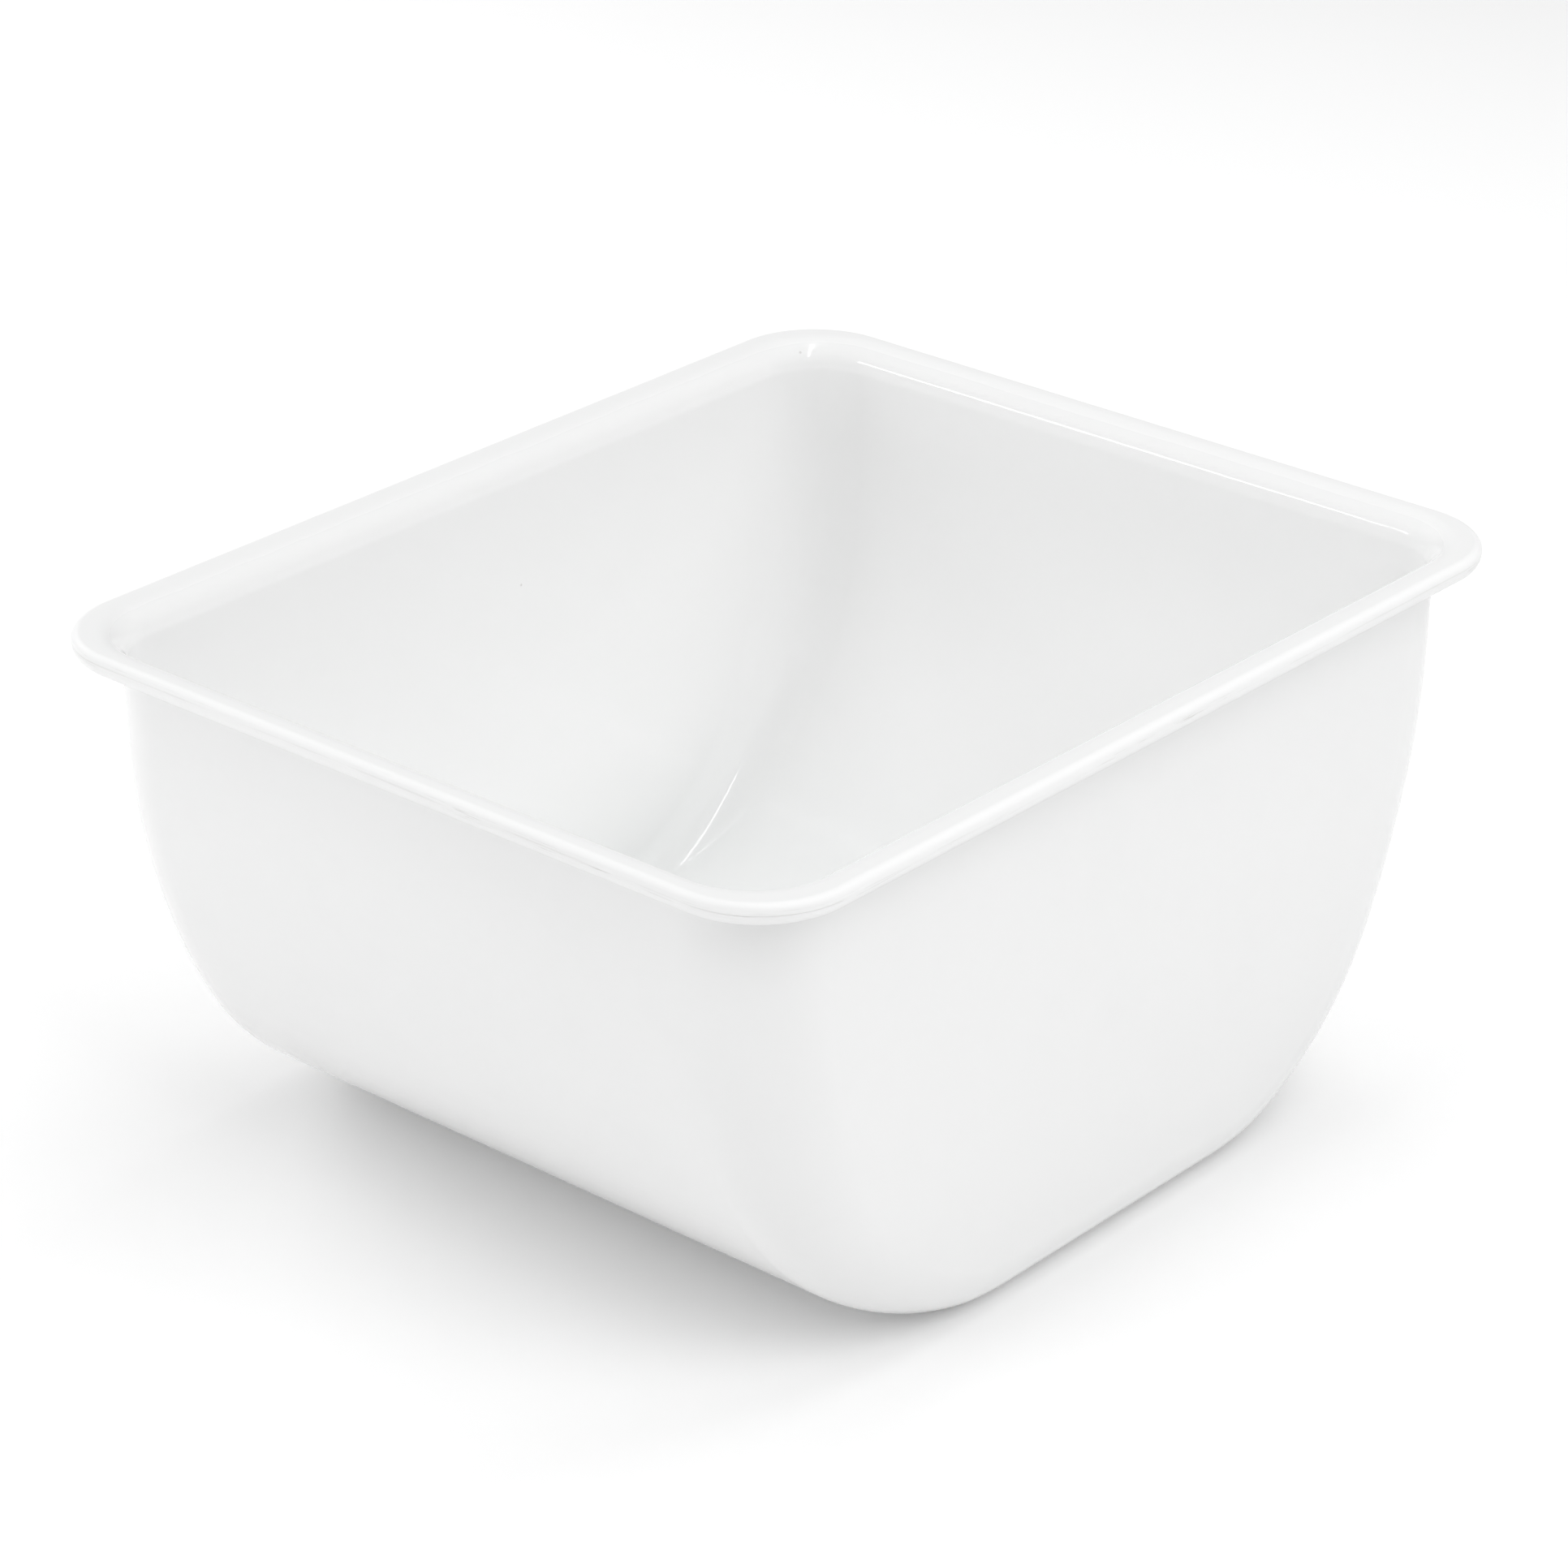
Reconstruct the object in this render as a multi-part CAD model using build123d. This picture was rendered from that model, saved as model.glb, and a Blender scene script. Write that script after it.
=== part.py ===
from build123d import *
from math import cos, sin, tan, radians
import os

# ---------------------------------------------------------------- driving dimensions (mm)
RIM_LENGTH = 400.0          # overall, along Y, over the two curved walls
RIM_WIDTH = 333.0           # overall, along X, over the two flat walls
HEIGHT = 202.0              # overall, from the flat of the floor to the top of the rim
WALL = 4.0                  # moulded wall, the same all over
RIM_THICK = 8.0             # height of the solid bead round the mouth
OVERHANG_FLAT = 13.0        # bead beyond the outside of the two flat walls
OVERHANG_CURVED = 11.0      # bead beyond the outside of the two curved walls

FLAT_DRAFT = 0.7            # degrees, lean of the two flat walls
CURVED_DRAFT = 0.5          # degrees, lean of the straight upper part of the curved walls
BREAK_ANGLE = 29.5          # degrees below level where the large bend meets the small one
BEND_LARGE = 218.2          # outside radius of the upper bend
BEND_SMALL = 119.2          # outside radius of the lower bend, tangent to the floor
CORNER = 25.0               # outside radius where the curved sheet meets the flat walls

RIM_CORNER = 35.0           # corner radius of the bead, seen from above
BEAD_TOP = 0.42 * RIM_THICK     # rounding of the bead's outer top edge
BEAD_BOTTOM = 0.55 * RIM_THICK  # rounding of the bead's outer bottom edge
MOUTH = 11.0                # rounding of the inner edge of the mouth
BEAD_JOIN = 1.5             # small radius under the bead, against the walls

LEAN = radians(CURVED_DRAFT)
TURN = radians(BREAK_ANGLE)
BEND_DROP = BEND_LARGE * (sin(TURN) - sin(LEAN)) + BEND_SMALL * (1 - sin(TURN))
STRAIGHT = (HEIGHT - BEND_DROP) / cos(LEAN)     # length of the straight upper part


# ---------------------------------------------------------------- body
def outward(angle):
    """Outward direction in the YZ plane, on the +Y side, tipped down by an angle."""
    return Vector(cos(angle), -sin(angle))


def sheet_profile(inset, above):
    """The U seen along X: two straight walls, two pairs of tangent bends, flat floor.

    The inset moves the whole U inward by a wall thickness; above is how far the
    straight walls run past the top of the rim.
    """
    top = Vector(RIM_LENGTH / 2 - OVERHANG_CURVED, HEIGHT)
    bend_start = top + Vector(-sin(LEAN), -cos(LEAN)) * STRAIGHT
    centre_1 = bend_start - outward(LEAN) * BEND_LARGE
    centre_2 = centre_1 + outward(TURN) * (BEND_LARGE - BEND_SMALL)
    large = BEND_LARGE - inset
    small = BEND_SMALL - inset

    a = centre_1 + outward(LEAN) * large
    start = a + Vector(tan(LEAN), 1) * (HEIGHT + above - a.Y)
    b = centre_1 + outward((LEAN + TURN) / 2) * large
    c = centre_1 + outward(TURN) * large
    d = centre_2 + outward((TURN + radians(90)) / 2) * small
    e = centre_2 + outward(radians(90)) * small

    def other(v):
        return Vector(-v.X, v.Y)

    with BuildSketch(Plane.YZ) as sketch:
        with BuildLine():
            Line(start, a)
            ThreePointArc(a, b, c)
            ThreePointArc(c, d, e)
            Line(e, other(e))
            ThreePointArc(other(e), other(d), other(c))
            ThreePointArc(other(c), other(b), other(a))
            Line(other(a), other(start))
            Line(other(start), start)
        make_face()
    return sketch.sketch


def flat_walls(inset, above):
    """The tapered block that sets the two flat walls, seen along Y."""
    half = RIM_WIDTH / 2 - OVERHANG_FLAT - inset / cos(radians(FLAT_DRAFT))
    lean = tan(radians(FLAT_DRAFT))
    upper = half + above * lean
    lower = half - (HEIGHT + 10) * lean
    with BuildSketch(Plane.XZ) as sketch:
        with BuildLine():
            Polyline(
                (upper, HEIGHT + above),
                (lower, -10),
                (-lower, -10),
                (-upper, HEIGHT + above),
                close=True,
            )
        make_face()
    return extrude(sketch.sketch, amount=RIM_LENGTH, both=True)


def shell_block(inset, above, corner):
    """The U sheet between the flat walls, as a solid, with every corner rounded alike."""
    sheet = extrude(sheet_profile(inset, above), amount=RIM_WIDTH, both=True)
    block = sheet & flat_walls(inset, above)
    level = HEIGHT + above
    edges = [
        edge
        for edge in block.edges()
        if abs(edge.center().X) > RIM_WIDTH / 4 and edge.center().Z < level - 1
    ]
    return fillet(edges, corner)


# ---------------------------------------------------------------- rim
def bead():
    """The solid rounded bead round the mouth, before the mouth is opened."""
    outline = RectangleRounded(RIM_WIDTH, RIM_LENGTH, RIM_CORNER)
    ring = extrude(Pos(0, 0, HEIGHT - RIM_THICK) * outline, amount=RIM_THICK)
    ring = fillet(ring.edges().group_by(Axis.Z)[-1], BEAD_TOP)
    return fillet(ring.edges().group_by(Axis.Z)[0], BEAD_BOTTOM)


# ---------------------------------------------------------------- tub
def make_tub():
    tub = shell_block(0, 0, CORNER) + bead()
    under = [
        edge
        for edge in tub.edges()
        if abs(edge.center().Z - (HEIGHT - RIM_THICK)) < 0.01
        and edge.bounding_box().size.Z < 0.01
        and is_join(edge)
    ]
    tub = fillet(under, BEAD_JOIN)
    tub = tub - shell_block(WALL, 5, CORNER - WALL)
    mouth = [
        edge
        for edge in tub.edges()
        if abs(edge.center().Z - HEIGHT) < 0.01
        and edge.bounding_box().size.Z < 0.01
        and not is_outer(edge)
    ]
    return fillet(mouth, MOUTH)


def is_join(edge):
    """True for the line where the walls run into the underside of the bead."""
    size = edge.bounding_box()
    x = max(abs(size.min.X), abs(size.max.X))
    y = max(abs(size.min.Y), abs(size.max.Y))
    x_wall = RIM_WIDTH / 2 - OVERHANG_FLAT + 0.5
    y_wall = RIM_LENGTH / 2 - OVERHANG_CURVED + 0.5
    return x < x_wall and y < y_wall


def is_outer(edge):
    """True for the line where the flat of the rim meets its outer rounding."""
    size = edge.bounding_box()
    x = max(abs(size.min.X), abs(size.max.X))
    y = max(abs(size.min.Y), abs(size.max.Y))
    return x > RIM_WIDTH / 2 - BEAD_TOP - 0.5 or y > RIM_LENGTH / 2 - BEAD_TOP - 0.5


tub = make_tub()
tub.label = "tub"
os.makedirs("parts", exist_ok=True)
export_step(tub, "parts/tub.step")
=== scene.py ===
import math

import bmesh
import bpy
from mathutils import Matrix, Vector


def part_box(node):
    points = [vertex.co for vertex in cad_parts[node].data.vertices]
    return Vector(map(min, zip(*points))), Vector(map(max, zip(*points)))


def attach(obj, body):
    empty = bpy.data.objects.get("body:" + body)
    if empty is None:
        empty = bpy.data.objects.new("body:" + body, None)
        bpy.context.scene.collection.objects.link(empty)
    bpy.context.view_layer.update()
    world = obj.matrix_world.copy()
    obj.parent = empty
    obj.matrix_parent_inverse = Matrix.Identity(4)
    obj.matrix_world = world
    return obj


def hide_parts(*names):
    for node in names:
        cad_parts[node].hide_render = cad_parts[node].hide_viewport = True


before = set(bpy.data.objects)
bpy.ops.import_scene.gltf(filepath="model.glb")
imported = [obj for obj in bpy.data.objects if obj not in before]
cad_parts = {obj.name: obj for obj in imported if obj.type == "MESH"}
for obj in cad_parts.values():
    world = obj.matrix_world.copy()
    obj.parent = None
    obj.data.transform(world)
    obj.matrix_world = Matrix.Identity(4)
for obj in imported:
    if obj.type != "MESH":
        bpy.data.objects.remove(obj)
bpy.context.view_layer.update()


# ------------------------------------------------------------------ camera
def look(place, azimuth, elevation, lens):
    """Camera at a place, looking back towards the tub along an azimuth and elevation."""
    a = math.radians(azimuth)
    e = math.radians(elevation)
    back = Vector((math.sin(a) * math.cos(e), -math.cos(a) * math.cos(e), math.sin(e)))
    data = bpy.data.cameras.new("camera")
    data.sensor_width = 36
    data.lens = lens
    data.clip_start = 0.05
    data.clip_end = 50
    camera = bpy.data.objects.new("camera", data)
    camera.location = place
    camera.rotation_euler = (-back).to_track_quat("-Z", "Y").to_euler()
    bpy.context.scene.collection.objects.link(camera)
    bpy.context.scene.camera = camera
    return camera


CAMERA_PLACE = (1.08015, -1.24092, 0.91752)
CAMERA_AZIMUTH = 41.108
CAMERA_ELEVATION = 25.738
CAMERA_LENS = 119.688
look(CAMERA_PLACE, CAMERA_AZIMUTH, CAMERA_ELEVATION, CAMERA_LENS)

# ------------------------------------------------------------------ sizes (metres)
LOWEST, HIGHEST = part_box("tub")
RIM_X, RIM_Y, HEIGHT = HIGHEST - LOWEST
WALL = 0.004
RIM_THICK = 0.008
OVER_FLAT = 0.013
OVER_CURVED = 0.011
FLAT_DRAFT = math.radians(0.7)
LEAN = math.radians(0.5)
TURN = math.radians(29.5)
BEND_LARGE = 0.2182
BEND_SMALL = 0.1192
CORNER_OUT = (0.034, 0.018)  # outside corner radius at the rim and under the tub
CORNER_IN = (0.025, 0.012)   # the same inside
CORNER_TURNS = (20, 80)      # degrees the wall has turned down where a corner starts and stops tightening
RIM_CORNER = 0.035
BEAD_TOP = 0.42 * RIM_THICK
BEAD_BOTTOM = 0.55 * RIM_THICK
MOUTH = 0.011
JOIN = 0.0015
SEAM = 0.00005              # how far the trimmed mould seam stands out of the bead
SEAM_Z = HEIGHT - BEAD_TOP  # its height
# the seam's section: rise from its height, share of SEAM that it lies back from the rim outline
SEAM_STEPS = ((-0.0004, 1), (-0.0001, 0.2), (0.0001, 0), (0.0004, 0.3), (0.0007, 1))
SEAM_TOP = SEAM_Z + SEAM_STEPS[-1][0]

ARC = 16                    # steps round every corner
LARGE_STEPS = 14            # steps down the upper bend
SMALL_STEPS = 24            # steps down the lower bend
SAME = 1e-6                 # points nearer than this are one point
LEVEL = 1e-5                # points nearer than this in height are on one level

DROP = BEND_LARGE * (math.sin(TURN) - math.sin(LEAN)) + BEND_SMALL * (1 - math.sin(TURN))
STRAIGHT = (HEIGHT - DROP) / math.cos(LEAN)


# ------------------------------------------------------------------ tub
def outward(angle):
    """Outward direction across the curved wall where it has turned down by an angle."""
    return Vector((0, math.cos(angle), -math.sin(angle)))


def corner_radius(ends, angle):
    """Radius of the corner where the curved wall has turned down by an angle."""
    begin, end = CORNER_TURNS
    share = min(1, max(0, (math.degrees(angle) - begin) / (end - begin)))
    return ends[0] + (ends[1] - ends[0]) * share


def across(bm, spot, angle, inset, radius):
    """Half a line across the curved wall and the quarter turn into the flat wall."""
    half = RIM_X / 2 - OVER_FLAT - inset / math.cos(FLAT_DRAFT)
    start = bm.verts.new(spot)
    edge = bmesh.ops.extrude_vert_indiv(bm, verts=[start])
    tip = edge["verts"][0]
    tip.co.x = half - radius
    along = Vector((0, -math.sin(angle), -math.cos(angle)))
    out = bmesh.ops.spin(
        bm, geom=[tip], cent=tip.co - outward(angle) * radius, axis=along, dvec=(0, 0, 0),
        angle=math.pi / 2, steps=ARC, use_merge=False, use_duplicate=False,
    )
    made = {start, tip} | {g for g in out["geom_last"] if isinstance(g, bmesh.types.BMVert)}
    grown = set(edge["edges"])
    todo = [tip]
    while todo:
        for e in todo.pop().link_edges:
            if e not in grown:
                grown.add(e)
                todo += [v for v in e.verts if v not in made]
                made.update(e.verts)
    return list(grown)


def shell(inset, top_z, corners):
    """The curved sheet between the two flat walls, open at the top, corners rounded."""
    bm = bmesh.new()
    rim_line = Vector((0, RIM_Y / 2 - OVER_CURVED, HEIGHT))
    bend_start = rim_line - Vector((0, math.sin(LEAN), math.cos(LEAN))) * STRAIGHT
    centre_1 = bend_start - outward(LEAN) * BEND_LARGE
    centre_2 = centre_1 + outward(TURN) * (BEND_LARGE - BEND_SMALL)

    # the stations down one quarter: straight, large bend, small bend, middle of the floor
    begin = centre_1 + outward(LEAN) * (BEND_LARGE - inset)
    top = begin + Vector((0, math.tan(LEAN), 1)) * (top_z - begin.z)
    stations = [(top, LEAN), (top.lerp(begin, 0.5), LEAN)]
    level = math.pi / 2
    for centre, bend, begin_turn, end_turn, steps in (
        (centre_1, BEND_LARGE, LEAN, TURN, LARGE_STEPS),
        (centre_2, BEND_SMALL, TURN, level, SMALL_STEPS),
    ):
        for step in range(steps):
            angle = begin_turn + (end_turn - begin_turn) * step / steps
            stations.append((centre + outward(angle) * (bend - inset), angle))
    stations.append((centre_2 + outward(level) * (BEND_SMALL - inset), level))
    stations.append((Vector((0, 0, inset)), level))

    last = None
    for spot, angle in stations:
        now = across(bm, spot, angle, inset, corner_radius(corners, angle))
        if last is None:
            for v in {v for e in now for v in e.verts}:
                v.co.z = top_z
        else:
            bmesh.ops.bridge_loops(bm, edges=last + now)
        last = now
    half = RIM_X / 2 - OVER_FLAT
    for v in bm.verts:
        v.co.x *= 1 - (HEIGHT - v.co.z) * math.tan(FLAT_DRAFT) / half
    for axis in "XY":
        geom = list(bm.verts) + list(bm.edges) + list(bm.faces)
        bmesh.ops.mirror(bm, geom=geom, axis=axis, merge_dist=SAME)

    # the flat walls, each closed along its top by one straight edge
    def at_top(v):
        return abs(v.co.z - top_z) < SAME

    for side in (-1, 1):
        border = [
            e for e in bm.edges
            if e.is_boundary and all(v.co.x * side > 0 for v in e.verts)
            and not all(at_top(v) for v in e.verts)
        ]
        ends = list(dict.fromkeys(v for e in border for v in e.verts if at_top(v)))
        lid = bm.edges.new(ends)
        bmesh.ops.edgeloop_fill(bm, edges=border + [lid])
    bmesh.ops.recalc_face_normals(bm, faces=list(bm.faces))
    return bm


def top_loop(edges):
    """The edges on the highest level among some edges."""
    high = max(v.co.z for e in edges for v in e.verts)
    return [e for e in edges if all(abs(v.co.z - high) < LEVEL for v in e.verts)]


def ring(bm, x, y, corner, z):
    """A rounded rectangle of edges at one height."""
    out = bmesh.ops.create_grid(
        bm, x_segments=1, y_segments=1, size=1,
        matrix=Matrix.Translation((0, 0, z)) @ Matrix.Diagonal((x, y, 1, 1)),
    )
    old = set(bm.faces) - {f for v in out["verts"] for f in v.link_faces}
    bmesh.ops.bevel(
        bm, geom=out["verts"], offset=corner, offset_type="OFFSET", segments=ARC,
        profile=0.5, affect="VERTICES", clamp_overlap=False, material=-1,
    )
    plate = [f for f in bm.faces if f not in old]
    edges = list({e for f in plate for e in f.edges})
    bmesh.ops.delete(bm, geom=plate, context="FACES_ONLY")
    return edges


def bead_profile():
    """Bead section from under the rim, round the outside, to just short of the mouth's end.

    Each step is: inset from the rim outline, height, corner radius, how far on the
    outer face (0 to 1), how far inside (0 to 1).
    """
    turns = [math.radians(a) for a in range(0, 91, 15)]
    for t in turns[1:]:
        k = JOIN * (1 - math.cos(t))
        z = HEIGHT - RIM_THICK - JOIN + JOIN * math.sin(t)
        yield OVER_FLAT - k, z, CORNER_OUT[0] + k, 0, 0
    for t in turns:
        k = SEAM + (BEAD_BOTTOM - SEAM) * (1 - math.sin(t))
        z = HEIGHT - RIM_THICK + BEAD_BOTTOM * (1 - math.cos(t))
        yield k, z, RIM_CORNER - k, math.sin(t), 0
    for rise, back in SEAM_STEPS:
        yield back * SEAM, SEAM_Z + rise, RIM_CORNER - back * SEAM, 1, 0
    for t in turns[1:]:
        k = SEAM + (BEAD_TOP - SEAM) * (1 - math.cos(t))
        z = SEAM_TOP + (HEIGHT - SEAM_TOP) * math.sin(t)
        yield k, z, RIM_CORNER - k, math.cos(t), 0
    for t in (math.radians(a / 2) for a in range(0, 180, 15)):
        k = MOUTH * (1 - math.sin(t))
        z = HEIGHT - MOUTH + MOUTH * math.cos(t)
        yield OVER_FLAT + WALL - k, z, CORNER_IN[0] + k, 0, math.sin(t) ** 2


def make_tub():
    """The whole moulding: outer shell, bead, mouth and inner shell as one closed mesh."""
    bm = shell(0, HEIGHT - RIM_THICK - JOIN, CORNER_OUT)
    last = top_loop(bm.edges)
    inner = shell(WALL, HEIGHT - MOUTH, CORNER_IN)
    mesh = bpy.data.meshes.new("inner")
    inner.to_mesh(mesh)
    inner.free()
    before = set(bm.edges)
    bm.from_mesh(mesh)
    bpy.data.meshes.remove(mesh)
    fresh = [e for e in bm.edges if e not in before]
    mouth = top_loop(fresh)
    face_mark = bm.verts.layers.float.new("outer_face")
    inside_mark = bm.verts.layers.float.new("inside")
    for e in fresh:
        for v in e.verts:
            v[inside_mark] = 1
    for inset, z, corner, outer, inside in bead_profile():
        inset_y = inset - min(1, inset / OVER_FLAT) * (OVER_FLAT - OVER_CURVED)
        now = ring(bm, RIM_X / 2 - inset, RIM_Y / 2 - inset_y, corner, z)
        for e in now:
            for v in e.verts:
                v[face_mark] = outer
                v[inside_mark] = inside
        bmesh.ops.bridge_loops(bm, edges=last + now)
        last = now
    bmesh.ops.bridge_loops(bm, edges=last + mouth)
    bmesh.ops.remove_doubles(bm, verts=list(bm.verts), dist=SAME)
    bmesh.ops.recalc_face_normals(bm, faces=list(bm.faces))
    for f in bm.faces:
        f.smooth = True
    mesh = bpy.data.meshes.new("tub_body")
    bm.to_mesh(mesh)
    bm.free()
    obj = bpy.data.objects.new("tub_body", mesh)
    bpy.context.scene.collection.objects.link(obj)
    soften = obj.modifiers.new("even normals", "WEIGHTED_NORMAL")
    soften.mode = "FACE_AREA"
    soften.weight = 50
    return obj


# ------------------------------------------------------------------ materials
TINT_A = (0.90, 0.902, 0.901)       # the white drifts between these three
TINT_B = (0.887, 0.889, 0.888)
TINT_C = (0.876, 0.879, 0.878)
# painted light: the inside gets a lighter white than the outside so that it reads brighter
TINT_IN_PAINTED_LIGHT = (0.94, 0.94, 0.939)       # inside
# painted shade low down inside, with a cool green cast
TINT_LOW_PAINTED_SHADE = (0.84, 0.85, 0.846)      # low down inside
# painted shade low down outside, on the curved walls
TINT_UNDER_PAINTED_SHADE = (0.845, 0.847, 0.846)  # low down outside, on the curved walls
# painted shade on the top and underside of the bead
TINT_RIM_PAINTED_SHADE = (0.79, 0.792, 0.791)     # top and underside of the bead
# painted light on the outer face of the bead
TINT_EDGE_PAINTED_LIGHT = (0.925, 0.926, 0.925)   # outer face of the bead
TINT_MARK = (0.62, 0.61, 0.59)      # trimming cuts
TINT_SPECK = (0.30, 0.28, 0.25)     # specks of dirt
BASE_ROUGH = 0.08


def new_material(name):
    """An empty material with one shader: the material, its nodes, its links, the shader."""
    mat = bpy.data.materials.new(name)
    mat.use_nodes = True
    nodes = mat.node_tree.nodes
    nodes.clear()
    out = nodes.new("ShaderNodeOutputMaterial")
    shade = nodes.new("ShaderNodeBsdfPrincipled")
    mat.node_tree.links.new(shade.outputs[0], out.inputs["Surface"])
    return mat, nodes, mat.node_tree.links, shade


def grow(nodes, links, kind, inputs=(), **settings):
    """A node with its settings made and its inputs set or linked."""
    node = nodes.new(kind)
    for name, value in settings.items():
        setattr(node, name, value)
    for name, value in dict(inputs).items():
        if isinstance(value, bpy.types.NodeSocket):
            links.new(value, node.inputs[name])
        else:
            node.inputs[name].default_value = value
    return node


def plastic():
    """White moulded polyethylene: satin, faintly grained, trimmed seam, odd specks, with painted light
    inside and on the bead's outer face and painted shade low inside, low outside and on the bead.
    """
    mat, nodes, links, shade = new_material("white moulded plastic")

    def node(kind, inputs=(), **settings):
        return grow(nodes, links, kind, inputs, **settings)

    def maths(how, a, b=0.0, c=0.0, clamp=False):
        return node("ShaderNodeMath", {0: a, 1: b, 2: c}, operation=how, use_clamp=clamp).outputs[0]

    def ramp(value, low, high, out_low=0.0, out_high=1.0):
        return node(
            "ShaderNodeMapRange",
            {"Value": value, "From Min": low, "From Max": high, "To Min": out_low, "To Max": out_high},
            interpolation_type="SMOOTHSTEP",
        ).outputs[0]

    def noise(vector, scale, detail=3.0, rough=0.5, warp=0.0):
        return node(
            "ShaderNodeTexNoise",
            {"Vector": vector, "Scale": scale, "Detail": detail, "Roughness": rough, "Distortion": warp},
        ).outputs[0]

    def blend(fac, a, b):
        return node("ShaderNodeMix", {0: fac, 6: a, 7: b}, data_type="RGBA").outputs[2]

    spot = node("ShaderNodeTexCoord").outputs["Object"]
    xyz = node("ShaderNodeSeparateXYZ", {0: spot})
    x, y, z = xyz.outputs[0], xyz.outputs[1], xyz.outputs[2]
    outer = node("ShaderNodeAttribute", attribute_name="outer_face").outputs["Fac"]
    inside = node("ShaderNodeAttribute", attribute_name="inside").outputs["Fac"]

    # slow drift of the white, and painted shade, a little cooler and greener, low down inside
    drift = noise(spot, 7, 2)
    cloud = noise(spot, 38, 4, 0.6)
    white = blend(drift, (*TINT_A, 1), (*TINT_B, 1))
    white = blend(ramp(cloud, 0.45, 0.8, 0, 0.5), white, (*TINT_C, 1))
    # painted light: blend the inside towards the lighter white
    white = blend(maths("MULTIPLY", inside, 0.7), white, (*TINT_IN_PAINTED_LIGHT, 1))
    # painted shade: darker, cooler and greener towards the floor inside
    low = maths("MULTIPLY", inside, ramp(z, 0.075, 0.005))
    white = blend(maths("MULTIPLY", low, 0.8), white, (*TINT_LOW_PAINTED_SHADE, 1))
    # painted shade: darker towards the bottom outside, where the curved walls turn under
    under = maths("MULTIPLY", maths("SUBTRACT", 1.0, inside), ramp(z, 0.07, 0.0))
    under = maths("MULTIPLY", under, ramp(maths("ABSOLUTE", y), 0.06, 0.14))
    white = blend(under, white, (*TINT_UNDER_PAINTED_SHADE, 1))
    # painted shade: the top and underside of the bead are darkened; the same rim mask also dulls the
    # roughness further down
    rim = maths("MULTIPLY", maths("SUBTRACT", 1.0, inside), ramp(z, HEIGHT - 0.0098, HEIGHT - 0.0078))
    upper = maths("SUBTRACT", 1.0, maths("MULTIPLY", outer, 0.95))
    white = blend(maths("MULTIPLY", rim, upper), white, (*TINT_RIM_PAINTED_SHADE, 1))
    # painted light: the outer face of the bead is made lighter
    white = blend(maths("MULTIPLY", outer, 0.8), white, (*TINT_EDGE_PAINTED_LIGHT, 1))

    # trimming marks on the outer face of the bead: streaks that follow the rim
    around = maths("MULTIPLY", maths("ARCTAN2", y, x), 0.2)
    run = node("ShaderNodeCombineXYZ", {0: around, 1: maths("MULTIPLY", z, 30), 2: 0.0}).outputs[0]
    streak = noise(run, 60, 5, 0.62, 0.3)
    trimmed = ramp(noise(run, 5, 2), 0.44, 0.62)
    off = maths("ABSOLUTE", maths("SUBTRACT", z, SEAM_Z + 0.0004))
    band = maths("MULTIPLY", ramp(off, 0.0026, 0.0006), outer)
    scraped = maths("MULTIPLY", band, trimmed)
    cut = maths("MULTIPLY", scraped, ramp(streak, 0.56, 0.66))
    wander = maths("MULTIPLY", maths("SUBTRACT", noise(run, 9, 2), 0.5), 0.0022)
    line_off = maths("ABSOLUTE", maths("SUBTRACT", maths("SUBTRACT", z, SEAM_Z + 0.0003), wander))
    line = maths("MULTIPLY", ramp(line_off, 0.0004, 0.0001), outer)
    line = maths("MULTIPLY", line, ramp(noise(run, 22, 3), 0.46, 0.62))
    marks = maths("MAXIMUM", maths("MULTIPLY", cut, 0.8), maths("MULTIPLY", line, 0.22), clamp=True)
    colour = blend(marks, white, (*TINT_MARK, 1))

    # specks of dirt in the moulding
    cell = node("ShaderNodeTexVoronoi", {"Vector": spot, "Scale": 34.0}, feature="F1")
    chance = node("ShaderNodeSeparateColor", {0: cell.outputs["Color"]}).outputs[0]
    rare = maths("GREATER_THAN", chance, 0.84)
    speck = maths("MULTIPLY", rare, ramp(cell.outputs["Distance"], 0.024, 0.012))
    colour = blend(maths("MULTIPLY", speck, 0.28), colour, (*TINT_SPECK, 1))

    # sheen: a little duller in clouds, on rubbed streaks and where the bead was scraped
    rub = node("ShaderNodeMapping", {0: spot, "Rotation": (0.3, 0.2, 0.7), "Scale": (1, 9, 9)}).outputs[0]
    rubbed = ramp(noise(rub, 14, 2), 0.5, 0.8, 0.0, 0.025)
    sheen = ramp(cloud, 0.3, 0.7, 0.0, 0.03)
    rough = maths("ADD", maths("ADD", sheen, BASE_ROUGH), rubbed)
    dull = maths("MULTIPLY", rim, ramp(inside, 0.7, 0.0))
    rough = maths("ADD", rough, maths("MULTIPLY", dull, 0.34))
    rough = maths("ADD", rough, maths("MULTIPLY", scraped, 0.12), clamp=True)

    # surface: slow waviness of the wall, fine moulding grain, cuts on the bead
    wave = noise(spot, 9, 2, 0.4)
    grain = noise(spot, 1500, 2, 0.5)
    skin = noise(spot, 160, 3, 0.5)
    tall = maths("MULTIPLY", wave, 0.0008)
    tall = maths("ADD", tall, maths("MULTIPLY", skin, 0.000012))
    tall = maths("ADD", tall, maths("MULTIPLY", grain, 0.0000016))
    tall = maths("SUBTRACT", tall, maths("MULTIPLY", maths("MULTIPLY", scraped, streak), 0.00018))
    tall = maths("SUBTRACT", tall, maths("MULTIPLY", line, 0.00006))
    bump = node("ShaderNodeBump", {"Height": tall, "Strength": 1.0, "Distance": 1.0})

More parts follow.
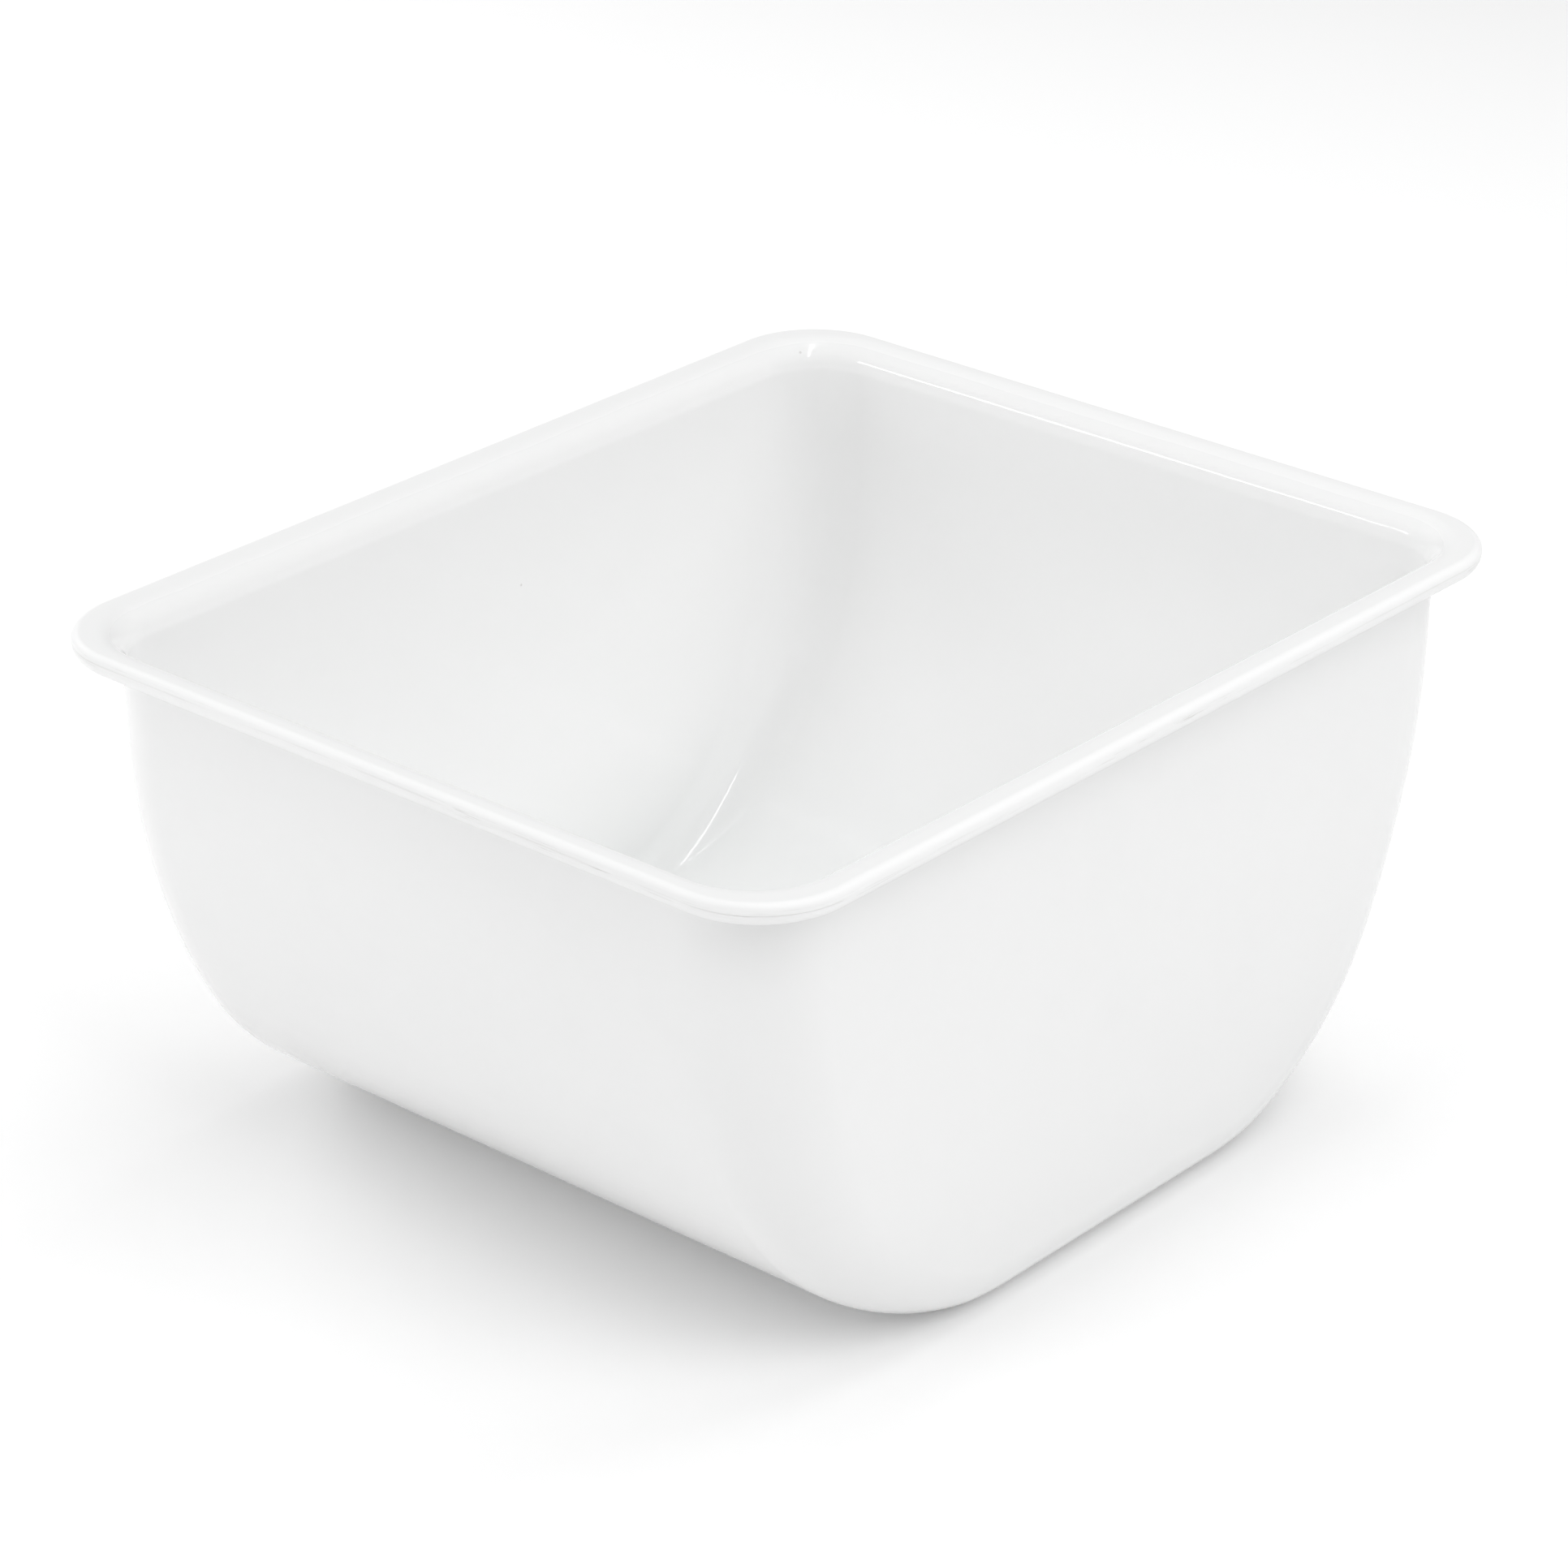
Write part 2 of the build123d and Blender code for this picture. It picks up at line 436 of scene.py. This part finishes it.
    links.new(colour, shade.inputs["Base Color"])
    links.new(rough, shade.inputs["Roughness"])
    links.new(bump.outputs[0], shade.inputs["Normal"])
    shade.inputs["IOR"].default_value = 1.5
    shade.inputs["Specular IOR Level"].default_value = 0.5
    return mat


tub = make_tub()
tub.data.materials.append(plastic())
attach(tub, "root")
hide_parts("tub")


# ------------------------------------------------------------------ floor and light
def floor():
    """A plain pale sheet to stand the tub on."""
    bm = bmesh.new()
    bmesh.ops.create_grid(bm, x_segments=1, y_segments=1, size=6)
    mesh = bpy.data.meshes.new("floor")
    bm.to_mesh(mesh)
    bm.free()
    obj = bpy.data.objects.new("floor", mesh)
    bpy.context.scene.collection.objects.link(obj)
    mat, nodes, links, shade = new_material("floor paper")
    shade.inputs["Base Color"].default_value = (0.9, 0.9, 0.9, 1)
    shade.inputs["Roughness"].default_value = 0.9
    shade.inputs["Specular IOR Level"].default_value = 0.1
    shade.inputs["Emission Color"].default_value = (1, 1, 1, 1)
    shade.inputs["Emission Strength"].default_value = 0.07
    mesh.materials.append(mat)


def panel(name, place, size, power):
    """A soft panel facing the tub, which lights it without showing as a reflection."""
    area(name, place, size, power, (0, 0, 1)).visible_glossy = False


def strip(name, place, size, power, along):
    """A narrow light facing the tub, which only shows as a reflection."""
    area(name, place, size, power, along).visible_diffuse = False


def area(name, place, size, power, along):
    """A rectangle of light facing the middle of the tub, its long side along a direction."""
    data = bpy.data.lights.new(name, "AREA")
    data.shape = "RECTANGLE"
    data.size, data.size_y = size
    data.energy = power
    obj = bpy.data.objects.new(name, data)
    obj.location = place
    facing = (Vector(place) - MIDDLE).normalized()
    length = (Vector(along) - facing * facing.dot(Vector(along))).normalized()
    width = length.cross(facing)
    obj.rotation_euler = Matrix((width, length, facing)).transposed().to_euler()
    bpy.context.scene.collection.objects.link(obj)
    return obj


MIDDLE = Vector((0, 0, 0.12))

floor()
panel("overhead_panel", (0, 0, 2.0), (2.4, 2.4), 12)
panel("rear_overhead_panel", (0.2, 1.2, 1.9), (1.6, 1.6), 13.3)
panel("high_right_panel", (1.7, -0.2, 1.8), (1.4, 1.4), 20)
panel("right_panel", (2.0, 0.1, 0.7), (1.6, 1.0), 1.3)
panel("front_panel", (-1.2, -1.8, 0.8), (1.4, 1.2), 8.8)
panel("high_front_panel", (-0.5, -1.7, 1.8), (1.4, 1.4), 8.5)
panel("left_panel", (-2.0, 0.2, 0.9), (1.4, 1.4), 15)
strip("left_strip", (-1.18, -1.26, 0.93), (0.07, 0.6), 2.2, (1, 0, 0))
strip("right_strip", (0.62, -0.22, 1.8), (0.06, 2.0), 4.5, (-0.85, 0.52, 0))

world = bpy.data.worlds.new("studio")
world.use_nodes = True
world.node_tree.nodes["Background"].inputs[0].default_value = (1, 1, 1, 1)
world.node_tree.nodes["Background"].inputs[1].default_value = 0.30
bpy.context.scene.world = world
bpy.context.scene.view_settings.view_transform = "Standard"
bpy.context.scene.view_settings.look = "None"
